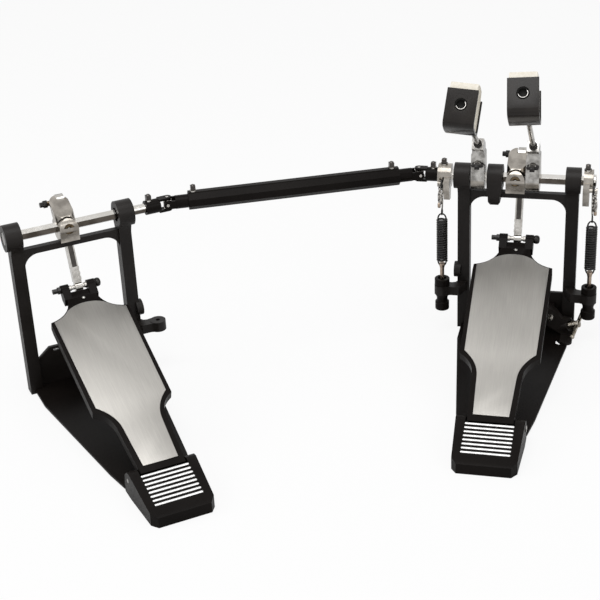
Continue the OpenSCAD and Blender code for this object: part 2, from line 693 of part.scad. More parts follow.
module hex_shaft(x0, x1) {
    color(chrome) at_shaft() x_cyl(shaft_r, x0, x1, 6);
}
module right_shaft() {
    hex_shaft(shaft_main[0], shaft_main[1]);
    color(steel) at_shaft() x_cyl(8, 87.2, 89.4, 40);
}
module slave_shaft() {
    hex_shaft(-cap_out + 0.3, 60);
    color(chrome) at_shaft() {
        x_cyl(5.5, 59.9, 108, 40);
        x_cyl(7.6, -cap_out + 0.3, -cap_out + 1.8, 40);
    }
}
module main_bearings() {
    color(steel) {
        cap_races(main_cap);
        race(bracket_x[0] + 1, bracket_x[0] + 6.5);
        race(bracket_x[1] - 6.5, bracket_x[1] - 1);
    }
}
module slave_bearings() {
    color(steel) cap_races(slave_cap);
}
bracket_x = [-36.2, -18.4];
module centre_bearing_bracket() {
    color(satin_black) difference() {
        intersection() {
            x_slab(bracket_x[0], bracket_x[1]) {
                translate([0, shaft_z]) circle(r = cap_r, $fn = 64);
                polygon([[-cap_r, shaft_z], [-cap_r, shaft_z - 22], [-11.5, shaft_z - 31], [-4, shaft_z - 32],
                    [8, shaft_z - 27], [cap_r, shaft_z - 8], [cap_r, shaft_z]]);
            }
            translate([(bracket_x[0] + bracket_x[1]) / 2, 0, shaft_z]) y_slab(-60, 60)
                polygon(both([[9, 30], [9, -15], [7.2, -18], [7.2, -27], [3.8, -33]]));
        }
        x_slab(-40, -10) translate([bar_back, bar_low]) square([bar_front - bar_back, bar_top - bar_low]);
        at_shaft() x_cyl(11, bracket_x[0] + 1, bracket_x[1] - 1);
        at_shaft() x_cyl(8.2, -38, -16);
    }
}
module right_key_bolts() {
    color(steel) {
        translate([right_x, -15.4, shaft_z + hub_bolt_z]) rotate([90, 0, 0]) key_bolt(8, 5, 4.6);
        translate([ring_bolts[1], 0, shaft_z + ring_bolt_z]) key_bolt(6, 5, 4.4);
    }
}
module left_key_bolts() {
    color(steel) {
        translate([left_x, -15.4, shaft_z + hub_bolt_z]) rotate([90, 0, 0]) key_bolt(8, 5, 4.6);
        translate([ring_bolts[0], 0, shaft_z + ring_bolt_z]) key_bolt(6, 5, 4.4);
        translate([main_joint_x + main_barrel[2], 0, shaft_z + 8]) key_bolt(1, 5.5, 4);
    }
}
module left_yoke() {
    color(satin_black) translate([main_joint_x, 0, shaft_z]) yoke(main_barrel);
}
module slave_yoke() {
    color(satin_black) translate([slave_joint_x, 0, shaft_z]) mirror([1, 0, 0]) yoke(slave_barrel);
    color(steel) translate([slave_joint_x - slave_barrel[2], 0, shaft_z + 8]) key_bolt(1, 5.5, 4);
}
module left_cross() {
    color(steel) translate([main_joint_x, 0, shaft_z]) rotate([0, 0, drive_yaw]) cross_piece();
}
module slave_cross() {
    color(steel) drive_line() cross_piece();
}
module right_fork() {
    color(satin_black) translate([main_joint_x, 0, shaft_z]) rotate([0, 0, drive_yaw])
        mirror([1, 0, 0]) fork(110, main_play);
}
module left_fork() {
    color(satin_black) drive_line() fork(150, slave_play);
}
module drive_tube() {
    drive_line() tube();
}
module tube_bolts() {
    color(steel) drive_line() {
        for (t = tube_bolt_t) translate([t, 0, 11.4]) key_bolt(3, 5.5, 4);
    }
}

base_plate(true);  // main_base_plate
base_pad();  // main_base_pad
frame([-1, 1], -1, true, main_cap, post_in);  // main_frame
heel_block();  // main_heel_block
heel_ribs();  // main_heel_ribs
hinge_pin();  // main_hinge_pin
centre_bearing_bracket();
main_bearings();
for (s = [-1, 1]) at_spring(s) eyebolt();  // spring_eyebolts
for (s = [-1, 1]) at_spring(s) spring_nut();  // spring_nuts
footboard();  // main_footboard
tread_plate();  // main_tread_plate
toe_pin();  // main_toe_pin
link();  // main_link
cam();  // main_cam
cam_bolts();  // main_cam_bolts
right_shaft();
hub(9, 25, right_lean);  // right_hub
rocker([75.8, 86.7], [75.8, 83.2], 91, ring_bolts[1]);  // right_rocker
right_key_bolts();
beater_rod(right_beater);  // right_beater_rod
beater_shell(right_beater);  // right_beater_shell
beater_felt(right_beater);  // right_beater_felt
beater_screw(right_beater);  // right_beater_screw
hex_shaft(shaft_left[0], shaft_left[1]);  // left_shaft
hub(-55, -39, left_lean);  // left_hub
rocker([-94.6, -79], [-86, -79], -91.5, ring_bolts[0]);  // left_rocker
left_yoke();
left_key_bolts();
beater_rod(left_beater);  // left_beater_rod
beater_shell(left_beater);  // left_beater_shell
beater_felt(left_beater);  // left_beater_felt
beater_screw(left_beater);  // left_beater_screw
spring_hook(1);  // right_spring_hook
spring_hook(-1);  // left_spring_hook
at_spring(1) spring();  // right_spring
at_spring(-1) spring();  // left_spring
left_cross();
right_fork();
drive_tube();
tube_bolts();
left_fork();
slave_cross();
clamp_arm();
clamp_pins();
hoop_jaw();
clamp_screw();
second_stand() base_plate(false);  // slave_base_plate
second_stand() base_pad();  // slave_base_pad
second_stand() frame([1], 1, false, slave_cap, 41);  // slave_frame
second_stand() { heel_block(); hinge_pin(); }  // slave_heel_block
second_stand() heel_ribs();  // slave_heel_ribs
second_stand() slave_bearings();
second_stand() footboard();  // slave_footboard
second_stand() tread_plate();  // slave_tread_plate
second_stand() toe_pin();  // slave_toe_pin
second_stand() link();  // slave_link
second_stand() cam();  // slave_cam
second_stand() cam_bolts();  // slave_cam_bolts
second_stand() { slave_shaft(); slave_yoke(); }
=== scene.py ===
"""Double bass drum pedal: two stands, two beaters and the drive shaft between them, dressed round the
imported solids."""

import bmesh
import bpy
import numpy as np
from mathutils import Matrix, Vector


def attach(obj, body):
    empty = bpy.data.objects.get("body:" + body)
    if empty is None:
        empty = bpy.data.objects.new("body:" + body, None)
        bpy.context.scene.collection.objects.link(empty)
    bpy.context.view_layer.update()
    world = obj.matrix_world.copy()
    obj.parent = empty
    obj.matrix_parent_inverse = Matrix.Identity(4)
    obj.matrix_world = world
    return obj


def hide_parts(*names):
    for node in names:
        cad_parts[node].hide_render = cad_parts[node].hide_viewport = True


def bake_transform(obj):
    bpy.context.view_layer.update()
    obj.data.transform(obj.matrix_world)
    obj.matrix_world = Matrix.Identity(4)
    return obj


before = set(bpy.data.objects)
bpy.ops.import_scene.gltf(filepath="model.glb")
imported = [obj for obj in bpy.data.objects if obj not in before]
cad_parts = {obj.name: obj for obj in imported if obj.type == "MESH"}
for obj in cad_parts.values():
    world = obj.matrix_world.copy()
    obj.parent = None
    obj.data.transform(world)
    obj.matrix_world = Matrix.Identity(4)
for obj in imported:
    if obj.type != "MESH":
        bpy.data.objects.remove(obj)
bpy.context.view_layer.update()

# Camera: a long lens in front of the main stand, turned a little to the left and looking down, as
# the pedals are seen from the stool side.
EYE = (0.14596, -1.62058, 0.87876)
RIGHT = (0.972755, 0.227232, -0.045969)
UP = (-0.064284, 0.454882, 0.888232)
AHEAD = (-0.222745, 0.861073, -0.457097)
LENS_MM, SENSOR_MM = 88.59, 36
NEAREST, FARTHEST = 0.05, 40
camera = bpy.data.objects.new("camera", bpy.data.cameras.new("camera"))
camera.data.lens, camera.data.sensor_width = LENS_MM, SENSOR_MM
camera.data.clip_start, camera.data.clip_end = NEAREST, FARTHEST
axes = np.eye(4)
axes[:3, 0], axes[:3, 1], axes[:3, 2], axes[:3, 3] = RIGHT, UP, -np.array(AHEAD), EYE
camera.matrix_world = Matrix(axes.tolist())
bpy.context.scene.collection.objects.link(camera)
bpy.context.scene.camera = camera
bpy.context.scene.view_settings.view_transform = "Standard"

# Room: a near-white surround and a pale floor. The camera, polished metal and glass see the surround at
# one level, and what it sheds on the object is dimmer, so that the lamps still shape it. The floor has
# a glow of its own, which the camera alone sees.
SKY_LEVEL, SEEN_LEVEL, WHITE = 0.55, 0.965, (1, 1, 1, 1)
world = bpy.data.worlds.new("room")
bpy.context.scene.world = world
world.use_nodes = True
tree = world.node_tree
tree.nodes.clear()


def joined(tree, kind, first, second):
    """A maths node of the kind on two inputs, each a socket or a number. Gives its output socket."""
    made = tree.nodes.new("ShaderNodeMath")
    made.operation = kind
    for socket, value in zip(made.inputs, (first, second)):
        if isinstance(value, (int, float)):
            socket.default_value = value
        else:
            tree.links.new(value, socket)
    return made.outputs[0]


def seen_directly(tree):
    """One for rays from the camera, a mirror or a glass, otherwise nought: the largest of the three."""
    rays = tree.nodes.new("ShaderNodeLightPath").outputs
    return joined(tree, "MAXIMUM", joined(tree, "MAXIMUM", rays["Is Camera Ray"], rays["Is Glossy Ray"]),
                  rays["Is Transmission Ray"])


level = joined(tree, "MULTIPLY", seen_directly(tree), SEEN_LEVEL - SKY_LEVEL)
level = joined(tree, "ADD", level, SKY_LEVEL)
sky = tree.nodes.new("ShaderNodeBackground")
tree.links.new(level, sky.inputs["Strength"])
sky.inputs["Color"].default_value = WHITE
tree.links.new(sky.outputs[0], tree.nodes.new("ShaderNodeOutputWorld").inputs[0])

FLOOR_HALF, FLOOR_GLOW, FLOOR_TONE = 4.0, 0.88, (0.86, 0.86, 0.86, 1)
corners = [(x * FLOOR_HALF, y * FLOOR_HALF, 0) for x, y in ((-1, -1), (1, -1), (1, 1), (-1, 1))]
floor_mesh = bpy.data.meshes.new("floor")
floor_mesh.from_pydata(corners, [], [(0, 1, 2, 3)])
floor = bpy.data.objects.new("floor", floor_mesh)
bpy.context.scene.collection.objects.link(floor)
paper = bpy.data.materials.new("floor_paper")
paper.use_nodes = True
tree = paper.node_tree
tree.nodes.clear()
matt = tree.nodes.new("ShaderNodeBsdfDiffuse")
matt.inputs["Color"].default_value = FLOOR_TONE
mix = tree.nodes.new("ShaderNodeMixShader")
camera_ray = tree.nodes.new("ShaderNodeLightPath").outputs["Is Camera Ray"]
tree.links.new(joined(tree, "MULTIPLY", camera_ray, FLOOR_GLOW), mix.inputs[0])
tree.links.new(matt.outputs[0], mix.inputs[1])
tree.links.new(tree.nodes.new("ShaderNodeEmission").outputs[0], mix.inputs[2])
tree.links.new(mix.outputs[0], tree.nodes.new("ShaderNodeOutputMaterial").inputs[0])
floor_mesh.materials.append(paper)

# Lamps: three soft discs, one over the pedals and one to each side in front of them. The table gives
# each lamp's place, the point it faces, its width in metres and its power in watts.
LAMPS = {
    "lamp_overhead": ((-0.3, -0.6, 1.9), (-0.2, -0.1, 0.1), 1.4, 15),
    "lamp_left": ((-2.0, -0.7, 1.3), (-0.3, 0.0, 0.1), 1.0, 8),
    "lamp_right": ((1.7, -1.2, 1.5), (0.0, 0.0, 0.1), 1.0, 8),
}
for name, (place, aim, across, watts) in LAMPS.items():
    lamp = bpy.data.objects.new(name, bpy.data.lights.new(name, "AREA"))
    lamp.data.shape, lamp.data.size, lamp.data.energy = "DISK", across, watts
    lamp.location = place
    lamp.rotation_mode = "QUATERNION"
    lamp.rotation_quaternion = (Vector(aim) - Vector(place)).to_track_quat("-Z", "Y")
    bpy.context.scene.collection.objects.link(lamp)

# Cast frames: aluminium castings in satin black paint, with edges rounded by the mould. Each has two
# posts with bearing housings, a crossbar and a front wall. The main one has two spring brackets and a
# bearing bracket on its crossbar, and the second has one spring bracket, which stays empty.
MM = 0.001
STANDS = ("main", "slave")
# The levels between which a noise pattern changes the colour and the roughness, and its detail
TONE_STOPS, GRAIN_RANGE, NOISE_DETAIL = (0.36, 0.64), (0.3, 0.7), 3.0
# Points nearer than the weld in metres are one, and faces that turn less than the flat angle are one
WELD, FLAT_ANGLE, SHARP_ANGLE, EDGE_STEPS = 0.00001, np.radians(0.6), np.radians(32.0), 3


def surface(name, colour, other, metallic, roughness, grain, relief=0.0, patch=30.0, stretch=(1, 1, 1),
            turn=0.0, spread=0.08, **sockets):
    """A principled surface. Its colour drifts from one tone to the other over soft patches of the given
    size in millimetres. A grain of its own size moves the roughness up and down by spread and raises the
    relief. Both patterns are drawn out by stretch and turned about the upright by turn."""
    made = bpy.data.materials.new(name)
    made.use_nodes = True
    nodes, links = made.node_tree.nodes, made.node_tree.links
    shader = nodes["Principled BSDF"]
    shader.inputs["Metallic"].default_value = metallic
    for socket, value in sockets.items():
        shader.inputs[socket.replace("_", " ")].default_value = value
    where = nodes.new("ShaderNodeTexCoord").outputs["Object"]
    patterns = {}
    for kind, size in (("patch", patch), ("grain", grain)):
        mapping = nodes.new("ShaderNodeMapping")
        mapping.vector_type = "TEXTURE"
        mapping.inputs["Rotation"].default_value = (0, 0, turn)
        mapping.inputs["Scale"].default_value = [s * size * MM for s in stretch]
        noise = nodes.new("ShaderNodeTexNoise")
        noise.inputs["Scale"].default_value = 1.0
        noise.inputs["Detail"].default_value = NOISE_DETAIL
        links.new(where, mapping.inputs["Vector"])
        links.new(mapping.outputs["Vector"], noise.inputs["Vector"])
        patterns[kind] = noise.outputs["Fac"]
    ramp = nodes.new("ShaderNodeValToRGB")
    for stop, place, tone in zip(ramp.color_ramp.elements, TONE_STOPS, (colour, other)):
        stop.position, stop.color = place, (*tone, 1)
    links.new(patterns["patch"], ramp.inputs["Fac"])
    links.new(ramp.outputs["Color"], shader.inputs["Base Color"])
    rough = nodes.new("ShaderNodeMapRange")
    for side, low, high in (("From", *GRAIN_RANGE), ("To", roughness - spread, roughness + spread)):
        rough.inputs[side + " Min"].default_value = low
        rough.inputs[side + " Max"].default_value = high
    links.new(patterns["grain"], rough.inputs["Value"])
    links.new(rough.outputs["Result"], shader.inputs["Roughness"])
    if relief:
        bump = nodes.new("ShaderNodeBump")
        bump.inputs["Strength"].default_value = 1.0
        bump.inputs["Distance"].default_value = relief * MM
        links.new(patterns["grain"], bump.inputs["Height"])
        links.new(bump.outputs["Normal"], shader.inputs["Normal"])
    return made


def put(name, points, faces, material, body, stands_for=()):
    """A new piece from an array of points in millimetres and its faces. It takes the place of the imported
    solids that it stands for, and rides on its body if one is given."""
    mesh = bpy.data.meshes.new(name)
    mesh.from_pydata((np.asarray(points, float) * MM).tolist(), [], [list(map(int, f)) for f in faces])
    mesh.shade_smooth()
    mesh.materials.append(material)
    made = bpy.data.objects.new(name, mesh)
    bpy.context.scene.collection.objects.link(made)
    if stands_for:
        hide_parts(*stands_for)
    if body:
        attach(made, body)
    return made


def rolled(node, body, material, radius):
    """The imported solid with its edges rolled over. Its loose triangles are merged, flat neighbours are
    joined into one face, and each edge that turns by more than the sharp angle gets a round of the radius
    in millimetres."""
    work = bmesh.new()
    work.from_mesh(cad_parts[node].data)
    bmesh.ops.remove_doubles(work, verts=work.verts, dist=WELD)
    bmesh.ops.dissolve_limit(work, angle_limit=FLAT_ANGLE, verts=work.verts, edges=work.edges)
    work.verts.index_update()
    points = np.array([v.co[:] for v in work.verts]) / MM
    faces = [[v.index for v in f.verts] for f in work.faces]
    work.free()
    made = put(node + "_piece", points, faces, material, body, (node,))
    bevel = made.modifiers.new("rolled_edges", "BEVEL")
    bevel.width, bevel.segments = radius * MM, EDGE_STEPS
    bevel.limit_method, bevel.angle_limit = "ANGLE", SHARP_ANGLE
    bevel.harden_normals, bevel.miter_outer = True, "MITER_ARC"
    return made


cast_black = surface("cast_black_paint", (0.0085, 0.0066, 0.0056), (0.0125, 0.0102, 0.009), metallic=0.0,
                     roughness=0.42, grain=0.5, relief=0.02, patch=35, Specular_IOR_Level=0.2)
for stand in STANDS:
    rolled(stand + "_frame", stand + "_stand", cast_black, radius=2.2)
rolled("centre_bearing_bracket", "main_stand", cast_black, radius=1.8)

# Base plates: black sheet steel with a rubber pad under it, screwed to the posts and to the heel by
# its narrow tongue.
satin_black = surface("satin_black_paint", (0.0055, 0.0043, 0.0037), (0.008, 0.0064, 0.0056), metallic=0.0,
                      roughness=0.32, grain=0.7, relief=0.01, patch=50, Specular_IOR_Level=0.06)
rubber = surface("pad_rubber", (0.006, 0.006, 0.006), (0.009, 0.009, 0.009), metallic=0.0, roughness=0.8,
                 grain=0.8, relief=0.05)
for stand in STANDS:
    rolled(stand + "_base_plate", stand + "_stand", satin_black, radius=0.8)
    rolled(stand + "_base_pad", stand + "_stand", rubber, radius=0.4)

# Heel blocks: black castings that carry the footboard hinge, with eight polished grip bars let into
# the sloping top. The ends of the hinge pin show at the sides, and on the second stand that pin is one
# solid with its block.
SECOND_AT, SECOND_YAW = np.array([-489.4, -197.4, 0.0]), np.radians(38.0)
HEEL_HALF, HEEL_SLOPE = 37.52, np.radians(16.6)
BAR_COUNT, BAR_HALF, BAR_WIDE, BAR_HIGH, BAR_FOOT = 8, 26.5, 1.35, 0.85, -0.2
BAR_FIRST, BAR_STEP = np.array([0, -275.5, 28.6]), np.array([0, -5.5, -1.64])
BAR_ROWS, BAR_SIDES, BAR_CROWN = 7, 40, 0.98
polished_bar = surface("polished_bar", (0.88, 0.88, 0.87), (0.95, 0.95, 0.94), metallic=0.35,
                       roughness=0.22, grain=0.6, patch=14)
zinc = surface("zinc_plate", (0.34, 0.33, 0.31), (0.50, 0.49, 0.46), metallic=1.0, roughness=0.28,
               grain=0.7, relief=0.015, patch=4)


def tilted(points, slope):
    """Points turned about the x axis: y takes y cos - z sin, and z takes y sin + z cos."""
    c, s = np.cos(slope), np.sin(slope)
    return points @ np.array([[1, 0, 0], [0, c, s], [0, -s, c]])


def yawed(points, angle):
    """Points turned about the upright: x takes x cos - y sin, and y takes x sin + y cos."""
    c, s = np.cos(angle), np.sin(angle)
    return points @ np.array([[c, s, 0], [-s, c, 0], [0, 0, 1]])


def placed(points, stand):
    """Points in the shared frame from points in a stand's own axes: turned by its yaw, then moved."""
    return points if stand == "main" else yawed(points, SECOND_YAW) + SECOND_AT


def local(points, stand):
    """Points in a stand's own axes from points in the shared frame: moved back, then turned back."""
    return points if stand == "main" else yawed(points - SECOND_AT, -SECOND_YAW)


def repaint(piece, material, chosen, stand="main"):
    """Gives a further material to the faces whose centres pass the test. The test gets the centres in
    millimetres in the stand's own axes."""
    mesh = piece.data
    centres = np.zeros(len(mesh.polygons) * 3)
    mesh.polygons.foreach_get("center", centres)
    mesh.materials.append(material)
    number = np.zeros(len(mesh.polygons), int)
    mesh.polygons.foreach_get("material_index", number)
    number[chosen(local(centres.reshape(-1, 3) / MM, stand))] = len(mesh.materials) - 1
    mesh.polygons.foreach_set("material_index", number)


def grid_faces(rows, columns, start=0):
    """Quads of a grid of points that closes on itself along its columns, and a face over each end row."""
    row, column = np.meshgrid(np.arange(rows - 1), np.arange(columns), indexing="ij")
    after = (column + 1) % columns
    quads = np.stack([row * columns + column, row * columns + after, (row + 1) * columns + after,
                      (row + 1) * columns + column], -1).reshape(-1, 4) + start
    first = np.arange(columns)[::-1] + start
    last = np.arange(columns) + (rows - 1) * columns + start
    return quads.tolist() + [first.tolist(), last.tolist()]


def grip_bars():
    """Eight bars with round ends and a domed top. Each is a grid: u runs round a stadium outline, v from
    the foot of the bar to its crown, where the outline has drawn in along a quarter ellipse."""
    u, v = np.meshgrid(np.linspace(0, 2 * np.pi, BAR_SIDES, endpoint=False), np.linspace(0, 1, BAR_ROWS))
    drawn = np.cos(v * np.pi / 2 * BAR_CROWN)
    x = np.sign(np.cos(u)) * (BAR_HALF - BAR_WIDE) + BAR_WIDE * np.cos(u) * drawn
    y = BAR_WIDE * np.sin(u) * drawn
    z = np.where(v > 0, BAR_HIGH * np.sin(v * np.pi / 2), BAR_FOOT)
    one = tilted(np.stack([x, y, z], -1).reshape(-1, 3), HEEL_SLOPE) + BAR_FIRST
    points = np.concatenate([one + i * BAR_STEP for i in range(BAR_COUNT)])
    return points, [f for i in range(BAR_COUNT) for f in grid_faces(BAR_ROWS, BAR_SIDES, i * len(one))]


for stand in STANDS:
    block = rolled(stand + "_heel_block", stand + "_stand", satin_black, radius=1.8)
    if stand == "slave":
        repaint(block, zinc, lambda p: np.abs(p[:, 0]) > HEEL_HALF, stand)
    points, faces = grip_bars()
    put(stand + "_grip_bars", placed(points, stand), faces, polished_bar, stand + "_stand",
        (stand + "_heel_ribs",))
rolled("main_hinge_pin", "main_stand", zinc, radius=0.3)

# Footboards: one casting each, black, hinged at the heel and pulled up at the toe. The tread plate is
# steel sheet brushed along its length, lying in the board and held by one rivet on the neck.
BOARD_SLOPE, HINGE_AT = np.radians(19.51), np.array([0, -263.3, 33.84])
TREAD_ROLL, TREAD_THICK, ROLL_STEPS, CURVE_STEPS = 0.45, 1.0, 5, 14
BRUSH_WIDE, BRUSH_STRETCH = 0.45, (1, 60, 60)
# The rivet's place across and along the board, and its profile as (radius, height)
RIVET_X, RIVET_ALONG, RIVET_SIDES = 1, 253, 32
RIVET = [(2.0, -0.6), (2.0, 0.0), (1.7, 0.45), (1.0, 0.75), (0.3, 0.85)]


def arc_of(a, b, c):
    """Points of the curve that leaves a towards b and arrives at c. At each share t of the way, a, b and
    c are weighted by (1-t)^2, 2t(1-t) and t^2."""
    t = np.linspace(0, 1, CURVE_STEPS + 1)[1:, None]
    return (1 - t) ** 2 * np.array(a) + 2 * t * (1 - t) * np.array(b) + t * t * np.array(c)


def on_board(points):
    """Points given across, along and above the tread, tilted by the slope about the heel hinge."""
    return tilted(points, BOARD_SLOPE) + HINGE_AT


def sheet_metal(outline, low, high, roll):
    """A plate from a closed outline, as a grid: u runs round the outline and v up the edge. Over a quarter
    turn at the lower rim the outline is drawn in along its normals by roll times one minus the sine, and
    over another at the upper rim by roll times one minus the cosine. The ends are closed flat."""
    along = np.roll(outline, -1, 0) - np.roll(outline, 1, 0)
    normal = np.stack([along[:, 1], -along[:, 0]], -1) / np.linalg.norm(along, axis=1)[:, None]
    turn = np.linspace(0, np.pi / 2, ROLL_STEPS)
    inset = np.concatenate([roll * (1 - np.sin(turn)), roll * (1 - np.cos(turn))])
    level = np.concatenate([low + roll * (1 - np.cos(turn)), high - roll * (1 - np.sin(turn))])
    rows = [np.column_stack([outline - d * normal, np.full(len(outline), z)]) for d, z in zip(inset, level)]
    return np.concatenate(rows), grid_faces(len(inset), len(outline))


def rivet_head():
    """A grid: u runs round the rivet's axis and v along its profile, each row a circle of its radius."""
    u = np.linspace(0, 2 * np.pi, RIVET_SIDES, endpoint=False)
    rows = [np.column_stack([RIVET_X + r * np.cos(u), RIVET_ALONG + r * np.sin(u), np.full(RIVET_SIDES, z)])
            for r, z in RIVET]
    return np.concatenate(rows), grid_faces(len(RIVET), RIVET_SIDES)


# One half of the tread's outline, as (across, along), from the heel end up the side to the neck's tip
half_outline = np.concatenate([
    [[19.4, -0.6], [20.7, 26.0], [22.0, 54.0]], arc_of((22, 54), (23, 74), (40, 90)),
    [[41.2, 157.0], [42.5, 225.5]], arc_of((42.5, 225.5), (30, 229), (23, 238)),
    arc_of((23, 238), (13.5, 245.5), (0.001, 245.5))])
tread_outline = np.concatenate([half_outline, half_outline[-2::-1] * (-1, 1)])
for stand, turn in (("main", 0.0), ("slave", SECOND_YAW)):
    body = stand + "_board"
    rolled(stand + "_footboard", body, satin_black, radius=1.3)
    brushed = surface("brushed_tread_" + stand, (0.355, 0.343, 0.322), (0.40, 0.386, 0.362), metallic=1.0,
                      roughness=0.40, grain=0.22, relief=0.004, patch=BRUSH_WIDE, stretch=BRUSH_STRETCH,
                      turn=turn, spread=0.05)
    points, faces = sheet_metal(tread_outline, -TREAD_THICK, 0.0, TREAD_ROLL)
    put(stand + "_tread", placed(on_board(points), stand), faces, brushed, body,
        (stand + "_tread_plate",))
    points, faces = rivet_head()
    put(stand + "_rivet", placed(on_board(points), stand), faces, zinc, body)

# Bearings: steel ball races pressed into the housings of both stands and into the bracket on the main
# crossbar. The shafts turn in them.
race_steel = surface("race_steel", (0.38, 0.37, 0.35), (0.52, 0.51, 0.49), metallic=1.0, roughness=0.25,
                     grain=0.7, patch=4)
for stand in STANDS:
    rolled(stand + "_bearings", stand + "_stand", race_steel, radius=0.2)

# Return spring fixings: a copper-plated hook bolt stands in each bracket of the main stand, with a
# round nut above it and a hand knob below.
copper_plate = surface("copper_plate", (0.34, 0.27, 0.21), (0.46, 0.37, 0.30), metallic=1.0, roughness=0.30,
                       grain=0.7, patch=5)
rolled("spring_eyebolts", "main_stand", copper_plate, radius=0.4)
rolled("spring_nuts", "main_stand", satin_black, radius=1.2)

# Toe pins: each footboard carries a steel pin in its two ears, with a black screw head at the left
# end and a black nut at the right.
TOE_AT, PIN_BLACK_FROM, NUT_SIDES = (0.0, -7.0, 124.65), 20.4, 32
NUT = [(0.5, 20.5), (4.6, 20.9), (5.2, 22.4), (5.2, 24.6), (4.3, 26.4), (2.2, 27.3), (0.5, 27.4)]
# A direction with a larger share than this along an axis counts as lying along it
SIDEWAYS, NEARLY_ALONG = (1, 0, 0), 0.9
key_black = surface("key_black", (0.009, 0.0075, 0.0065), (0.014, 0.012, 0.010), metallic=0.0,
                    roughness=0.22, grain=0.7, patch=6, Specular_IOR_Level=0.3)
bright_steel = surface("bright_steel", (0.36, 0.345, 0.32), (0.56, 0.54, 0.51), metallic=1.0,
                       roughness=0.16, grain=0.8, patch=9)


def turned(profile, place, axis, sides=40):
    """A solid of revolution from (radius, height) rows. It is a grid: u runs round the axis and v along
    the profile. The end rows become flat faces."""
    axis = np.asarray(axis, float) / np.linalg.norm(axis)
    side = np.cross(axis, (1, 0, 0) if abs(axis[0]) < NEARLY_ALONG else (0, 1, 0))
    side /= np.linalg.norm(side)
    across = np.cross(axis, side)
    u = np.linspace(0, 2 * np.pi, sides, endpoint=False)
    rows = [np.asarray(place) + height * axis + (radius * np.cos(u))[:, None] * side
            + (radius * np.sin(u))[:, None] * across for radius, height in profile]
    return np.concatenate(rows), grid_faces(len(rows), sides)


for stand in STANDS:
    body = stand + "_board"
    pin = rolled(stand + "_toe_pin", body, bright_steel, radius=0.5)
    repaint(pin, key_black, lambda p: np.abs(p[:, 0]) > PIN_BLACK_FROM, stand)
    points, faces = turned(NUT, TOE_AT, SIDEWAYS, NUT_SIDES)
    put(stand + "_pin_nut", placed(points, stand), faces, key_black, body)

# Link bars: a bright steel channel hangs from the cam to the toe pin, with three pressed bands near
# its foot. The front of its web above the bands gets a dark metal, a painted reflection.
LINK_LEAN, WEB_AHEAD, WEB_SLACK, BANDS_END = np.radians(21.66), 2.6, 0.3, 24.0
# A dark metal: the own colour of the dark bolt tops, and a painted reflection on the link's web.
dark_chrome_and_painted_reflection = surface("dark_chrome_and_painted_reflection", (0.045, 0.041, 0.038), (0.085, 0.078, 0.072), metallic=1.0,
                      roughness=0.2, grain=0.6, patch=14)


def painted_reflection_web(p):
    """Faces on the front of the web above the bands, which get a dark painted reflection. Measured square to
    the link's length they lie ahead of the toe pin by the web's distance, and measured along it they lie
    beyond the last band."""
    y, z = p[:, 1] - TOE_AT[1], p[:, 2] - TOE_AT[2]
    depth = y * np.cos(LINK_LEAN) - z * np.sin(LINK_LEAN)
    along = y * np.sin(LINK_LEAN) + z * np.cos(LINK_LEAN)
    return (np.abs(depth + WEB_AHEAD) < WEB_SLACK) & (along > BANDS_END)


for stand in STANDS:
    link = rolled(stand + "_link", stand + "_link", bright_steel, radius=0.5)
    # Painted reflection: the web's front gets the dark metal.
    repaint(link, dark_chrome_and_painted_reflection, painted_reflection_web, stand)

# Cams: each is a nickel-plated casting clamped on its shaft by one large screw, with a forked arm
# round the link's upper pin. The pin ends in a black pointed key screw.
CAM_LEFT, SCREW_AT, BOSS_SIDES = -14.0, (-2.75, -12.5, 201.0), 24
RECESS_R, RECESS_AHEAD, RECESS_BEHIND = 3.2, 1.6, 1
BOSS = [(0.4, -0.3), (1.9, -0.3), (1.9, 0.5), (1.3, 1.1), (0.4, 1.3)]
nickel = surface("cast_nickel", (0.25, 0.23, 0.205), (0.42, 0.39, 0.35), metallic=1.0, roughness=0.2,
                 grain=0.9, relief=0.01, patch=14)
bronze = surface("bronze_screw", (0.06, 0.043, 0.026), (0.17, 0.125, 0.075), metallic=1.0, roughness=0.2,
                 grain=0.6, patch=4)


def recess_painted_shade(p):
    """Faces inside the clamp screw's six-sided recess, painted black as shade: nearer the screw's axis than
    the recess's radius, behind its front face and ahead of its back."""
    off = np.hypot(p[:, 0] - SCREW_AT[0], p[:, 2] - SCREW_AT[2])
    depth = p[:, 1] - SCREW_AT[1]
    return (off < RECESS_R) & (depth > -RECESS_AHEAD) & (depth < RECESS_BEHIND)


for stand, body in (("main", "right_axle"), ("slave", "slave_axle")):
    rolled(stand + "_cam", body, nickel, radius=1.0)
    bolts = rolled(stand + "_cam_bolts", body, bronze, radius=0.5)
    repaint(bolts, key_black, lambda p: p[:, 0] < CAM_LEFT, stand)
    # Painted shade: the screw's recess is painted black.
    repaint(bolts, key_black, recess_painted_shade, stand)
    points, faces = turned(BOSS, SCREW_AT, (0, -1, 0), BOSS_SIDES)
    put(stand + "_screw_boss", placed(points, stand), faces, bright_steel, body)

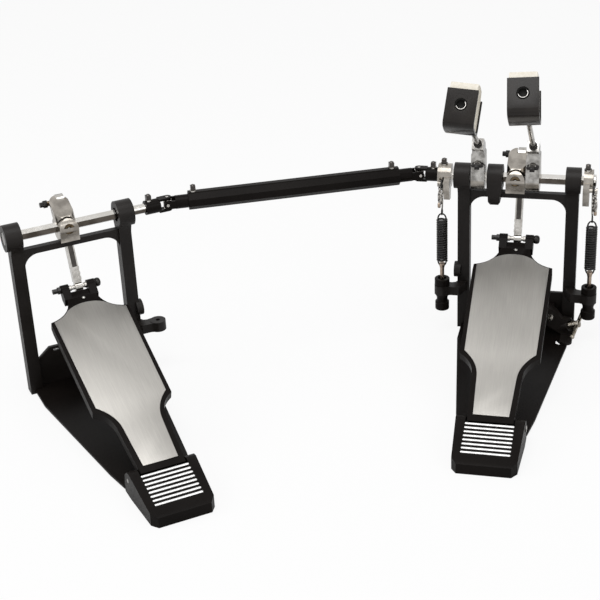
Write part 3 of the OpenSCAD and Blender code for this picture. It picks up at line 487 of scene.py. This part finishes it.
# Shafts: hexagonal chromed bars that carry the hubs, rockers and cams. The second stand's bar ends
# in a round neck with a black yoke and its key bolt. On that bar and the right one, all but the upper
# faces get a dark metal, a painted reflection of the dark parts under them.
SHAFT_Z, YOKE_FROM, YOKE_TOP = 200.0, 92.3, 208.5
PAINTED_REFLECTION_BELOW, YOKE_BOLT_FROM = SHAFT_Z + 1, YOKE_TOP + 1.2
chrome = surface("chrome_plate", (0.62, 0.60, 0.56), (0.72, 0.70, 0.67), metallic=1.0, roughness=0.09,
                 grain=3, patch=20, spread=0.03)
painted_reflection_chrome = surface("painted_reflection_chrome", (0.06, 0.051, 0.042), (0.11, 0.096, 0.082), metallic=1.0,
                      roughness=0.16, grain=0.6, patch=14)
rolled("left_shaft", "left_axle", chrome, radius=0.4)
second_shaft = rolled("slave_shaft", "slave_axle", chrome, radius=0.4)
right_shaft = rolled("right_shaft", "right_axle", chrome, radius=0.4)
# Painted reflection: the faces below the shaft's axis get a dark metal for the dark parts mirrored in them.
for bar in (right_shaft, second_shaft):
    repaint(bar, painted_reflection_chrome, lambda p: p[:, 2] < PAINTED_REFLECTION_BELOW)
repaint(second_shaft, satin_black, lambda p: (p[:, 0] > YOKE_FROM) & (p[:, 2] < YOKE_TOP), "slave")
repaint(second_shaft, dark_chrome_and_painted_reflection, lambda p: p[:, 2] > YOKE_BOLT_FROM)

# Hubs and rockers: nickel castings clamped on the shafts. A hub leans to hold a beater rod, with a dark
# square headed bolt in front and a short bar across the bolt. The rocker beside it pulls a spring, and
# is clamped by an upright bolt with a dark top.
HUB_X = {"right": 17.0, "left": -47.0}
WING_Y, WING_Z, WING_SIDES = -16.6, 220.0, 24
WING = [(0.4, -7.2), (1.3, -7.0), (2.3, -5.2), (2.3, 5.2), (1.3, 7.0), (0.4, 7.2)]
HUB_BOLT_FRONT, UPRIGHT_BEHIND, ROCKER_BOLT_TOP = -17.2, -10, 214.8
# The left group also holds the yoke's bolt, which is lower and lies beyond this place on the shaft
YOKE_BOLT_X, YOKE_BOLT_TOP = -95, 209.8
hub_nickel = surface("hub_nickel", (0.26, 0.25, 0.235), (0.56, 0.545, 0.52), metallic=1.0, roughness=0.22,
                     grain=1.4, relief=0.04, patch=7)


def upright_bolt_tops(p):
    """Faces behind the hub bolts and above the level at which the top of an upright bolt starts: one
    level for the yoke's bolt and another for the rockers'."""
    top = np.where(p[:, 0] < YOKE_BOLT_X, YOKE_BOLT_TOP, ROCKER_BOLT_TOP)
    return (p[:, 1] > UPRIGHT_BEHIND) & (p[:, 2] > top)


for side, hub_x in HUB_X.items():
    body = side + "_axle"
    hub = rolled(side + "_hub", body, hub_nickel, radius=1.2)
    repaint(hub, nickel, lambda p: p[:, 2] < SHAFT_Z)
    points, faces = turned(WING, (hub_x, WING_Y, WING_Z), SIDEWAYS, WING_SIDES)
    put(side + "_wing", points, faces, key_black, body)
    rolled(side + "_rocker", body, nickel, radius=0.8)
    bolts = rolled(side + "_key_bolts", body, bright_steel, radius=0.5)
    repaint(bolts, key_black, lambda p: p[:, 1] < HUB_BOLT_FRONT)
    repaint(bolts, dark_chrome_and_painted_reflection, upright_bolt_tops)

# Beaters: a chromed rod with a curved black shell at its end, felt filling the shell, and a screw in a
# socket on the rod's axis, whose cup is painted shade. A thin black ring where the rod enters its hub is a
# painted shadow.
LEAN_AND_REACH = {"right": (52.0, 190.0), "left": (55.8, 182.0)}
ROD_FOOT = (-13.0, 246.0)
CUP = [(0.4, -2.3), (3.4, -2.3), (4.1, -1.8), (4.7, -0.3), (5.4, 0.1), (6.4, 0.1), (6.4, -2.8), (0.4, -2.8)]
RIM = [(4.5, -1.0), (4.7, 0.0), (5.05, 0.25), (5.4, 0.0), (5.5, -1.0)]
RIM_SUNK, RIM_TIP, RIM_SIDES = 0.2, np.array([-0.06, 0.08, 0.1]), 48
SHADOW_RING_UP, SHADOW_RING_R, SHADOW_RING_WIRE = 3.2, 4.0, 0.8
RING_STEPS = 28
felt = surface("wool_felt", (0.75, 0.70, 0.60), (0.83, 0.79, 0.70), metallic=0.0, roughness=0.95, grain=0.5,
               relief=0.15, patch=5)
lacquer = surface("black_lacquer", (0.011, 0.0088, 0.0074), (0.016, 0.013, 0.011), metallic=0.0,
                  roughness=0.2, grain=0.7, patch=14, Specular_IOR_Level=0.24)
# Painted shade: near black with little shine, for the shade inside the socket's hole.
socket_painted_shade = surface("socket_painted_shade", (0.002, 0.0018, 0.0015), (0.003, 0.0026, 0.002), metallic=0.0,
                       roughness=0.4, grain=0.7, patch=6, Specular_IOR_Level=0.1)
rod_steel = surface("rod_steel", (0.24, 0.225, 0.20), (0.46, 0.44, 0.41), metallic=1.0, roughness=0.14,
                    grain=0.8, patch=14)


def wire(path, radius, sides=8, closed=False):
    """A round wire along a path of points. At each point the ring lies square to the path, and its first
    spoke is the last ring's spoke with the part along the path taken out, so that the wire never twists."""
    path = np.asarray(path, float)
    ahead = (np.roll(path, -1, 0) - np.roll(path, 1, 0)) if closed else np.gradient(path, axis=0)
    ahead /= np.linalg.norm(ahead, axis=1)[:, None]
    spoke = np.cross(ahead[0], (0, 0, 1) if abs(ahead[0][2]) < NEARLY_ALONG else (0, 1, 0))
    angle = np.linspace(0, 2 * np.pi, sides, endpoint=False)
    rows = []
    for point, way in zip(path, ahead):
        spoke = spoke - way * (spoke @ way)
        spoke /= np.linalg.norm(spoke)
        circle = np.cos(angle)[:, None] * spoke + np.sin(angle)[:, None] * np.cross(way, spoke)
        rows.append(point + radius * circle)
    faces = grid_faces(len(rows), sides)
    if closed:
        last = (len(rows) - 1) * sides
        faces = faces[:-2] + [[last + k, last + (k + 1) % sides, (k + 1) % sides, k] for k in range(sides)]
    return np.concatenate(rows), faces


def ring(centre, first, second, wide, high, radius):
    """A closed oval of wire: the centre plus the cosine times one axis and the sine times another."""
    a = np.linspace(0, 2 * np.pi, RING_STEPS, endpoint=False)[:, None]
    path = np.array(centre) + wide * np.cos(a) * np.array(first) + high * np.sin(a) * np.array(second)
    return wire(path, radius, closed=True)


for side, (lean, reach) in LEAN_AND_REACH.items():
    body = side + "_beater"
    rolled(side + "_beater_rod", body, rod_steel, radius=0.8)
    rolled(side + "_beater_shell", body, lacquer, radius=1.4)
    rolled(side + "_beater_felt", body, felt, radius=2.2)
    way = np.array([0, -np.sin(np.radians(lean)), np.cos(np.radians(lean))])
    foot = np.array([HUB_X[side], *ROD_FOOT])
    end = foot + reach * way
    # Painted shade: the socket cup stands for the dark hole.
    points, faces = turned(CUP, end, way)
    put(side + "_socket", points, faces, socket_painted_shade, body, (side + "_beater_screw",))
    points, faces = turned(RIM + RIM[:1], end - RIM_SUNK * way, way + RIM_TIP, RIM_SIDES)
    put(side + "_socket_rim", points, faces[:-2], chrome, body)
    # Painted shadow: a thin black wire ring at the rod's foot stands for the shadow in the gap round the rod.
    points, faces = ring(foot + SHADOW_RING_UP * way, SIDEWAYS, np.cross(way, SIDEWAYS), SHADOW_RING_R, SHADOW_RING_R, SHADOW_RING_WIRE)
    put(side + "_painted_shadow_ring", points, faces, key_black, side + "_axle")

# Return springs: black wire wound close, with a half loop at each end.
SPRING_X, SPRING_Y, COIL_LOW, COIL_HIGH = 88.0, -20.0, 96.0, 151.0
COIL_R, WIRE_R, TURNS, TURN_STEPS = 5.5, 1.35, 18, 24
LOOP_HIGH, LOOP_IN, LOOP_THIN, LOOP_POINTS = 7.0, 0.6, 0.7, 19
spring_black = surface("spring_black", (0.004, 0.0036, 0.003), (0.007, 0.006, 0.005), metallic=0.0,
                       roughness=0.2, grain=0.7, patch=6, Specular_IOR_Level=0.35)


def together(*parts):
    """One set of points and faces from several, each part's faces counted on from the points before it."""
    points, faces, start = [], [], 0
    for some, its in parts:
        points.append(some)
        faces += [[k + start for k in face] for face in its]
        start += len(some)
    return np.concatenate(points), faces


def spring(x):
    """The coil is a helix that rises equally with each turn. Each end loop is half an ellipse standing on
    two opposite sides of the coil, a little narrower than the coil and of thinner wire."""
    t = np.linspace(0, 1, TURNS * TURN_STEPS + 1)
    a = 2 * np.pi * TURNS * t
    rise = COIL_LOW + (COIL_HIGH - COIL_LOW) * t
    helix = np.stack([x + COIL_R * np.cos(a), SPRING_Y + COIL_R * np.sin(a), rise], -1)
    b = np.linspace(0, np.pi, LOOP_POINTS)
    across = x + (COIL_R - LOOP_IN) * np.cos(b)
    middle = np.full(LOOP_POINTS, SPRING_Y)
    loops = [np.stack([across, middle, z + way * LOOP_HIGH * np.sin(b)], -1)
             for z, way in ((COIL_LOW, -1), (COIL_HIGH, 1))]
    return together(wire(helix, WIRE_R), *[wire(loop, WIRE_R * LOOP_THIN) for loop in loops])


for side, sign in (("right", 1), ("left", -1)):
    points, faces = spring(sign * SPRING_X)
    piece = put(side + "_spring_piece", points, faces, spring_black, None,
                (side + "_spring",))
    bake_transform(piece)

# Spring hooks: a dark ring on the rocker's pin and a dark eye that catches the spring's top loop, with
# a thin stem between them. Beside the stem hang a plated swivel with a long link and a copper tag.
PIN_Y, PIN_Z, PIN_RING_R, PIN_RING_WIRE = -21.0, 197.0, 4.3, 1.3
CATCH_Z, CATCH_WIDE, CATCH_HIGH, STEM_WIRE, STEM_SIDES = 160.4, 2.6, 3.4, 0.95, 10
# The stem's points as (distance from the middle of the stand, y, z), from the top down
STEM_X = 87.2
STEM = [(STEM_X, PIN_Y + 0.3, 192.4), (STEM_X, PIN_Y + 0.3, 182), (STEM_X + 0.3, PIN_Y + 0.7, 170),
        (SPRING_X, SPRING_Y, 163.5)]
CLASP_X, CLASP_Y, SWIVEL_Z, SMALL_SIDES = 90.3, PIN_Y - 0.6, 185.4, 20
SWIVEL = [(0.5, 0), (1.9, 0.3), (2.3, 1.4), (1.5, 2.4), (1.5, 4.4), (2.1, 5.2), (1.6, 6.4), (0.5, 6.6)]
CHAIN_Z, CHAIN_WIDE, CHAIN_HIGH, CHAIN_WIRE, CHAIN_ACROSS = 178.6, 3.2, 7.6, 1.4, (0.5, -0.86, 0)
HANGER_IN, HANGER_Z, HANGER_R, HANGER_WIRE = 1.2, 191.5, 2.2, 0.9
TAG_OUT, TAG_Y, TAG_Z = 0.8, PIN_Y - 1.4, 166.6
TAG = [(0.4, 0), (1.7, 0.4), (1.9, 1.6), (1.9, 4.8), (1.3, 6.0), (0.4, 6.2)]
LENGTHWAYS, UPRIGHT = (0, 1, 0), (0, 0, 1)
clasp_steel = surface("clasp_steel", (0.06, 0.055, 0.048), (0.62, 0.59, 0.55), metallic=1.0, roughness=0.16,
                      grain=0.8, patch=3)
for side, sign in (("right", 1), ("left", -1)):
    body, x, clasp = side + "_hook", sign * SPRING_X, sign * CLASP_X
    points, faces = together(
        ring((x, PIN_Y, PIN_Z), LENGTHWAYS, UPRIGHT, PIN_RING_R, PIN_RING_R, PIN_RING_WIRE),
        ring((x, SPRING_Y, CATCH_Z), LENGTHWAYS, UPRIGHT, CATCH_WIDE, CATCH_HIGH, STEM_WIRE))
    put(side + "_pin_ring", points, faces, key_black, body, (side + "_spring_hook",))
    points, faces = together(
        turned(SWIVEL, (clasp, CLASP_Y, SWIVEL_Z), UPRIGHT, SMALL_SIDES),
        ring((clasp, CLASP_Y, CHAIN_Z), CHAIN_ACROSS, UPRIGHT, CHAIN_WIDE, CHAIN_HIGH, CHAIN_WIRE),
        ring((clasp - sign * HANGER_IN, PIN_Y, HANGER_Z), SIDEWAYS, UPRIGHT, HANGER_R, HANGER_R, HANGER_WIRE),
        wire([(sign * across, y, z) for across, y, z in STEM], STEM_WIRE, STEM_SIDES))
    put(side + "_clasp", points, faces, clasp_steel, body)
    points, faces = turned(TAG, (clasp + sign * TAG_OUT, TAG_Y, TAG_Z), UPRIGHT, SMALL_SIDES)
    put(side + "_tag", points, faces, copper_plate, body)

# Drive line: black yokes and forks on steel crosses, a round bar sliding in an eight-sided tube, and
# two bright key bolts with dark tops that lock it.
TUBE_BOLT_TOP = 213.1
rolled("left_yoke", "left_axle", satin_black, radius=0.8)
rolled("left_cross", "left_cross", bright_steel, radius=0.5)
rolled("right_fork", "tube", satin_black, radius=0.6)
rolled("drive_tube", "tube", satin_black, radius=0.8)
bolts = rolled("tube_bolts", "tube", bright_steel, radius=0.5)
repaint(bolts, dark_chrome_and_painted_reflection, lambda p: p[:, 2] > TUBE_BOLT_TOP)
rolled("left_fork", "slave_fork", satin_black, radius=0.6)
rolled("slave_cross", "slave_cross", bright_steel, radius=0.5)

# Hoop clamp: a black jaw behind the front wall, worked by a tee screw that turns in a black arm
# beside the right post.
screw_metal = surface("screw_metal", (0.20, 0.17, 0.13), (0.55, 0.51, 0.45), metallic=1.0, roughness=0.15,
                      grain=0.8, patch=5)
rolled("clamp_arm", "main_stand", cast_black, radius=1.0)
rolled("hoop_jaw", "hoop_jaw", cast_black, radius=1.0)
rolled("clamp_pins", "main_stand", bright_steel, radius=0.4)
rolled("clamp_screw", "clamp_screw", screw_metal, radius=0.8)
